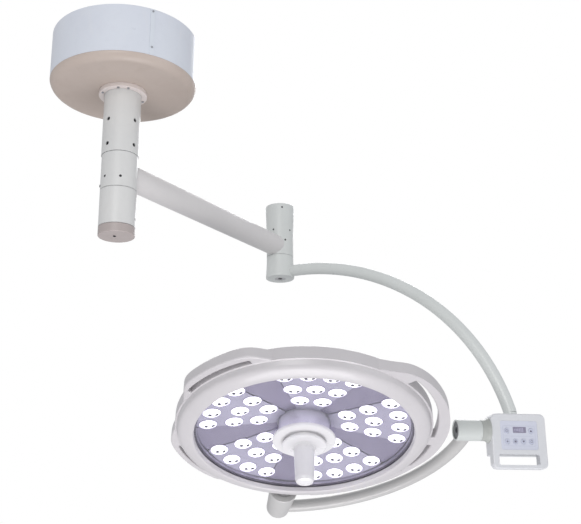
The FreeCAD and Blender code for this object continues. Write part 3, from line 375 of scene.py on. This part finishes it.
# small dark emitters that show through each lens, two to a lens
verts, faces = [], []
SEG = 14
DOT_R = 4.3
for i in range(5):
    mm = mod_matrix(i)
    az = math.radians(-90.5 + 72 * i)
    for lx, ly in LENS_XY:
        for s in (-1, 1):
            ox, oy = (8.2 * s + 3.6) * math.cos(-az), (8.2 * s + 3.6) * math.sin(-az)
            base = len(verts)
            for lift, rr in ((0.75, 0.0), (0.65, DOT_R), (-0.35, DOT_R), (-0.4, 0.0)):
                if rr == 0.0:
                    q = Vector(((lx + ox) * MM, (ly + oy) * MM, on_lens(ox, oy, lift) * MM))
                    verts.append(F_HEAD @ mm @ q)
                else:
                    for k in range(SEG):
                        t = 2 * math.pi * k / SEG
                        dx, dy = ox + rr * math.cos(t), oy + rr * math.sin(t)
                        q = Vector(((lx + dx) * MM, (ly + dy) * MM, on_lens(dx, dy, lift) * MM))
                        verts.append(F_HEAD @ mm @ q)
            top, r1, r2, bot = base, base + 1, base + 1 + SEG, base + 1 + 2 * SEG
            for k in range(SEG):
                k2 = (k + 1) % SEG
                faces.append((top, r1 + k, r1 + k2))
                faces.append((r1 + k, r2 + k, r2 + k2, r1 + k2))
                faces.append((bot, r2 + k2, r2 + k))
M["chip"] = paint("emitter_dot", (0.05, 0.048, 0.065), (0.02, 0.02, 0.03), 0.5, 0.1)
make("led_emitters", verts, faces, M["chip"], "lamp_head")

# trim ring that closes the gap between the modules and the cover's gasket
verts, faces = [], []
SEG = 144
prof = [(257.2, -10.0), (257.2, -16.4), (258.2, -16.4), (258.2, -10.0)]
for k in range(SEG):
    t = 2 * math.pi * k / SEG
    for pr, pz in prof:
        verts.append(F_HEAD @ Vector((pr * math.cos(t) * MM, pr * math.sin(t) * MM, pz * MM)))
for k in range(SEG):
    k2 = (k + 1) % SEG
    for q in range(4):
        q2 = (q + 1) % 4
        faces.append((k * 4 + q, k2 * 4 + q, k2 * 4 + q2, k * 4 + q2))
M["trim"] = paint("inner_trim", (0.40, 0.375, 0.47), (0.34, 0.32, 0.41), 0.3, 0.12, coat=0.3)
make("inner_trim_ring", verts, faces, M["trim"], "lamp_head")

# thin bezel round each lens
verts, faces = [], []
SEG = 36
prof = [(21.2, -0.02), (21.3, -0.9), (21.9, -1.25), (22.7, -0.95), (23.1, -0.02)]
for i in range(5):
    mm = mod_matrix(i)
    for lx, ly in LENS_XY:
        base = len(verts)
        for k in range(SEG):
            t = 2 * math.pi * k / SEG
            for pr, pz in prof:
                verts.append(F_HEAD @ mm @ Vector(((lx + pr * math.cos(t)) * MM,
                                                   (ly + pr * math.sin(t)) * MM, pz * MM)))
        n = len(prof)
        for k in range(SEG):
            k2 = (k + 1) % SEG
            for q in range(n):
                q2 = (q + 1) % n
                faces.append((base + k * n + q, base + k2 * n + q, base + k2 * n + q2, base + k * n + q2))
M["bezel"] = paint("lens_bezel", (0.46, 0.44, 0.55), (0.40, 0.38, 0.49), 0.25, 0.1, coat=0.4)
make("lens_bezels", verts, faces, M["bezel"], "lamp_head", smooth=True)


# printed marks: thin raised shapes in the x-z plane of the box face
def plate_y(shape, y0, y1):
    """Closed prism between y0 and y1 from a list of (x, z) outline loops."""
    vs, fs = [], []
    for loop in shape:
        b, n = len(vs), len(loop)
        for y in (y0, y1):
            for x, z in loop:
                vs.append(F_BOX @ Vector((x * MM, y * MM, z * MM)))
        fs.append(tuple(range(b, b + n)))
        fs.append(tuple(range(b + 2 * n - 1, b + n - 1, -1)))
        for k in range(n):
            k2 = (k + 1) % n
            fs.append((b + k, b + n + k, b + n + k2, b + k2))
    return vs, fs


def bar(cx, cz, w, h, ang=0.0):
    c, s = math.cos(math.radians(ang)), math.sin(math.radians(ang))
    pts = [(-w / 2, -h / 2), (w / 2, -h / 2), (w / 2, h / 2), (-w / 2, h / 2)]
    return [(cx + x * c - z * s, cz + x * s + z * c) for x, z in pts]


def disc(cx, cz, r, n=20):
    return [(cx + r * math.cos(2 * math.pi * k / n), cz + r * math.sin(2 * math.pi * k / n))
            for k in range(n)]


def arc_band(cx, cz, r, w, a0, a1, n=16):
    out = [(cx + (r + w / 2) * math.cos(math.radians(a0 + (a1 - a0) * k / n)),
            cz + (r + w / 2) * math.sin(math.radians(a0 + (a1 - a0) * k / n))) for k in range(n + 1)]
    out += [(cx + (r - w / 2) * math.cos(math.radians(a1 + (a0 - a1) * k / n)),
             cz + (r - w / 2) * math.sin(math.radians(a1 + (a0 - a1) * k / n))) for k in range(n + 1)]
    return out


BUTTONS = {"power": (-23.0, -3.0), "mode": (39.5, -3.0), "dim": (-23.0, -29.3),
           "bright": (-2.2, -29.3), "cool": (18.6, -29.3), "warm": (39.5, -29.3)}
ICON = {}
x, z = BUTTONS["power"]
ICON["power"] = [arc_band(x, z, 3.3, 1.0, 120, 420), bar(x, z + 2.3, 1.1, 3.6)]
x, z = BUTTONS["mode"]
ICON["mode"] = [[(x - 3.2, z - 2.6), (x + 3.2, z - 2.6), (x, z + 2.9)]]
x, z = BUTTONS["dim"]
ICON["dim"] = [disc(x, z, 1.7)] + [bar(x + 3.4 * math.cos(math.radians(a)), z + 3.4 * math.sin(math.radians(a)),
                                        1.5, 0.8, a) for a in (0, 90, 180, 270)]
x, z = BUTTONS["bright"]
ICON["bright"] = [disc(x, z, 2.3)] + [bar(x + 3.9 * math.cos(math.radians(a)), z + 3.9 * math.sin(math.radians(a)),
                                           1.9, 0.9, a) for a in range(0, 360, 45)]
x, z = BUTTONS["cool"]
ICON["cool"] = [[(x - 3.4, z + 2.4), (x + 3.4, z + 2.4), (x, z - 3.0)]]
x, z = BUTTONS["warm"]
ICON["warm"] = [arc_band(x, z, 2.9, 1.1, 0, 180), bar(x, z - 1.8, 6.2, 1.1)]
BY0 = -27.0
for n, loops in ICON.items():
    vs, fs = plate_y(loops, BY0 - 0.36, BY0 - 0.25)
    make("mark_" + n, vs, fs, M["print"], "button_" + n + "_body")

# level bars behind the display window and a thin printed frame on the film
vs, fs = plate_y([bar(-2.6 + 4.2 * k, -0.8, 2.6, 3.2 + 1.5 * k) for k in range(6)], BY0 + 0.29, BY0 + 0.37)
M["seg"] = paint("display_segments", (0.44, 0.42, 0.55), (0.38, 0.36, 0.49), 0.3, 0.1)
make("display_bars", vs, fs, M["seg"], "control_box")
fr_loops = []
FX0, FX1, FZ0, FZ1 = -33.0, 50.0, -40.0, 9.0
for a in (bar((FX0 + FX1) / 2, FZ1, FX1 - FX0 - 6, 0.5), bar((FX0 + FX1) / 2, FZ0, FX1 - FX0 - 6, 0.5),
          bar(FX0, (FZ0 + FZ1) / 2, 0.5, FZ1 - FZ0 - 6), bar(FX1, (FZ0 + FZ1) / 2, 0.5, FZ1 - FZ0 - 6),
          bar((FX0 + FX1) / 2, -16.2, FX1 - FX0 - 12, 0.35)):
    fr_loops.append(a)
for cx, cz, a0 in ((FX1 - 3, FZ1 - 3, 0), (FX0 + 3, FZ1 - 3, 90), (FX0 + 3, FZ0 + 3, 180), (FX1 - 3, FZ0 + 3, 270)):
    fr_loops.append(arc_band(cx, cz, 3.0, 0.5, a0, a0 + 90, 8))
M["line"] = paint("film_line", (0.47, 0.49, 0.60), (0.42, 0.44, 0.55), 0.5, 0.1)
vs, fs = plate_y(fr_loops, BY0 + 0.44, BY0 + 0.51)
make("keypad_frame", vs, fs, M["line"], "control_box")

# ------------------------------------------------------------------- stage
def stage_mesh(name, verts, faces, mat):
    me = bpy.data.meshes.new(name)
    me.from_pydata(verts, [], faces)
    me.materials.append(mat)
    ob = bpy.data.objects.new(name, me)
    scene.collection.objects.link(ob)
    return ob


m, nt, p = new_mat("floor_pale")
g = noise(nt, coords(nt), 0.8, 3.0)
nt.links.new(mix_rgb(nt, g, (0.84, 0.84, 0.845), (0.80, 0.80, 0.805)), p.inputs["Base Color"])
p.inputs["Roughness"].default_value = 0.8
FLOOR_Z = -4.5
ring = [(14.0 * math.cos(2 * math.pi * k / 64), 14.0 * math.sin(2 * math.pi * k / 64), FLOOR_Z) for k in range(64)]
stage_mesh("floor", ring, [tuple(range(64))], m)

# plain backdrop: seen by the camera, doesn't light the object
m = bpy.data.materials.new("backdrop_pale")
m.use_nodes = True
nt = m.node_tree
for n in list(nt.nodes):
    if n.type != "OUTPUT_MATERIAL":
        nt.nodes.remove(n)
em = nt.nodes.new("ShaderNodeEmission")
em.inputs["Color"].default_value = (1.0, 1.0, 1.0, 1.0)
em.inputs["Strength"].default_value = 1.0
nt.links.new(em.outputs["Emission"], next(n for n in nt.nodes if n.type == "OUTPUT_MATERIAL").inputs["Surface"])
bm = bmesh.new()
bmesh.ops.create_icosphere(bm, subdivisions=4, radius=20.0)
me = bpy.data.meshes.new("backdrop")
bm.to_mesh(me)
bm.free()
me.materials.append(m)
dome = bpy.data.objects.new("backdrop", me)
scene.collection.objects.link(dome)
dome.visible_diffuse = False
dome.visible_glossy = False
dome.visible_transmission = False
dome.visible_shadow = False

# ------------------------------------------------------------------ lights
world = bpy.data.worlds.new("studio")
scene.world = world
world.use_nodes = True
bg = next(n for n in world.node_tree.nodes if n.type == "BACKGROUND")
bg.inputs["Color"].default_value = (0.96, 0.97, 1.0, 1.0)
bg.inputs["Strength"].default_value = 0.62


def area(name, pos, target, size, power, col=(1, 1, 1)):
    d = bpy.data.lights.new(name, "AREA")
    d.shape = "RECTANGLE"
    d.size, d.size_y = size
    d.energy = power
    d.color = col
    o = bpy.data.objects.new(name, d)
    scene.collection.objects.link(o)
    o.location = pos
    o.visible_camera = False
    o.rotation_mode = "QUATERNION"
    o.rotation_quaternion = (Vector(target) - Vector(pos)).to_track_quat("-Z", "Y")
    return o


MID = (0.5, 0.15, -0.6)
area("key", (-1.0, -4.2, 0.1), MID, (2.2, 1.8), 58.0, (1.0, 0.99, 0.98))
area("fill", (3.6, -2.6, -0.4), MID, (2.4, 2.0), 16.0, (0.96, 0.98, 1.0))
area("under", (0.40, -0.30, -3.0), (0.46, 0.13, -0.93), (1.4, 1.2), 30.0, (1.0, 0.985, 1.0))
area("back", (1.2, 3.6, 1.6), MID, (3.0, 1.6), 45.0, (1.0, 1.0, 1.0))
